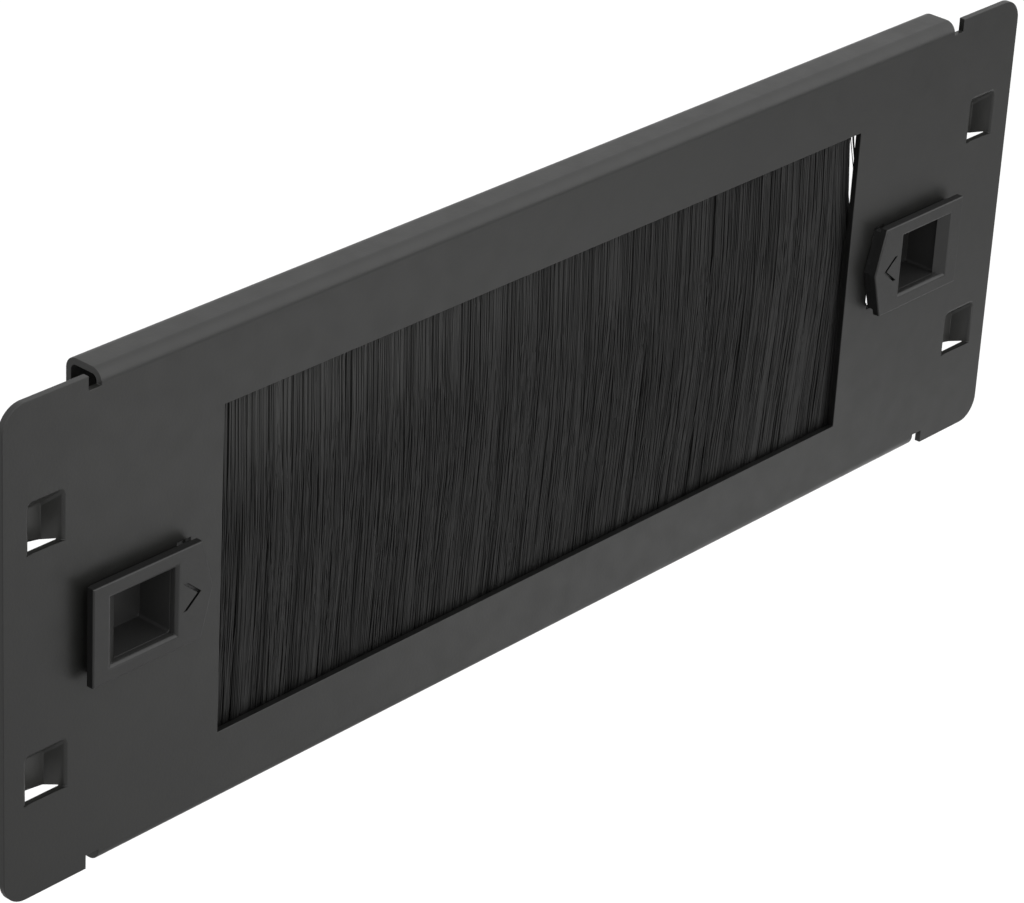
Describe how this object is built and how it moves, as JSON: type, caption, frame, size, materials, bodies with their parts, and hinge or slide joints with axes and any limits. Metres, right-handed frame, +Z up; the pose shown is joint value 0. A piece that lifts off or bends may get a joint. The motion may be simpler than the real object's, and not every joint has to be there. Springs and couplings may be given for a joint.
{
  "type": "rack brush strip panel",
  "caption": "Rack filler panel for small racks with a brush-filled cable window, hook lugs that seat in the rack's square holes and a sliding spring latch at each end.",
  "frame": {"origin": "middle of the panel, on the back face of its sheet, which seats on the rack's rails", "axes": "+X along the panel's width to the right as seen from the front, +Y to the back, into the rack, +Z up"},
  "size_m": [0.254, 0.0137, 0.0882],
  "materials": {
    "panel_paint": "satin black powder coat on steel sheet",
    "holder_metal": "bare bent strip",
    "wire_steel": "bright drawn wire",
    "bristle": "black nylon filament",
    "latch_plastic": "fine satin black moulding"
  },
  "bodies": {
    "panel": {"front_panel": "panel_paint", "brush_holder": "holder_metal", "brush_core_wire": "wire_steel", "bristle_curtain": "bristle", "spring_stop_left": "panel_paint", "spring_stop_right": "panel_paint", "latch_spring_left": "wire_steel", "latch_spring_right": "wire_steel"},
    "latch_left": {"latch_cover_left": "latch_plastic", "latch_slider_left": "latch_plastic"},
    "latch_right": {"latch_cover_right": "latch_plastic", "latch_slider_right": "latch_plastic"}
  },
  "joints": [
    {"name": "latch_left_slide", "type": "slide", "parent": "panel", "child": "latch_left", "axis": [1, 0, 0], "range_m": [0, 0.0052], "stiffness_N_per_m": 200, "springref_m": -0.005, "deforming": ["latch_spring_left"]},
    {"name": "latch_right_slide", "type": "slide", "parent": "panel", "child": "latch_right", "axis": [-1, 0, 0], "range_m": [0, 0.0052], "stiffness_N_per_m": 200, "springref_m": -0.005, "deforming": ["latch_spring_right"]}
  ]
}
